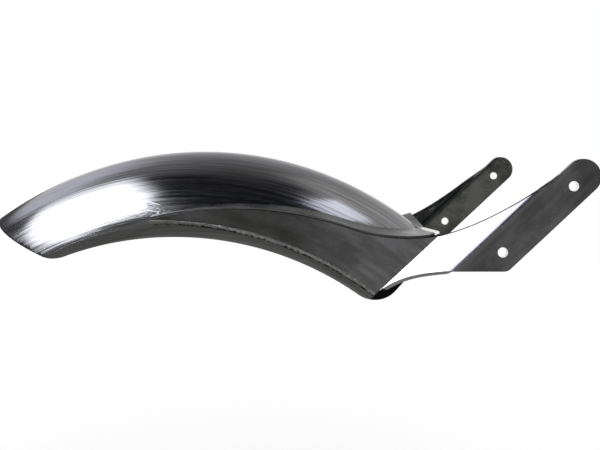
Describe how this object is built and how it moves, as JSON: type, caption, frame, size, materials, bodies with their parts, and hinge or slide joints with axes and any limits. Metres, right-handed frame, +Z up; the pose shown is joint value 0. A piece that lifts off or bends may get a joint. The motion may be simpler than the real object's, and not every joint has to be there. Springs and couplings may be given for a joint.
{
  "type": "motorcycle rear fender",
  "caption": "Bare steel motorcycle rear fender: a domed half-round blade with welded side plates that bend outward into slanted bolt tabs.",
  "frame": {"origin": "midway between the two upper bolt holes, on the fender's middle plane", "axes": "+X forward along the motorcycle, +Y to the rider's left along the bolt axes, +Z up"},
  "size_m": [0.5892, 0.233, 0.1412],
  "materials": {
    "blade_steel": "brushed along the arc, semi-bright",
    "strut_steel": "raw hot-rolled plate, satin",
    "pan_steel": "ground lengthwise",
    "weld_steel": "as welded"
  },
  "bodies": {
    "root": {"fender_blade": "blade_steel", "left_strut": "strut_steel", "right_strut": "strut_steel", "top_pan": "pan_steel", "left_weld": "weld_steel", "right_weld": "weld_steel"}
  },
  "joints": []
}
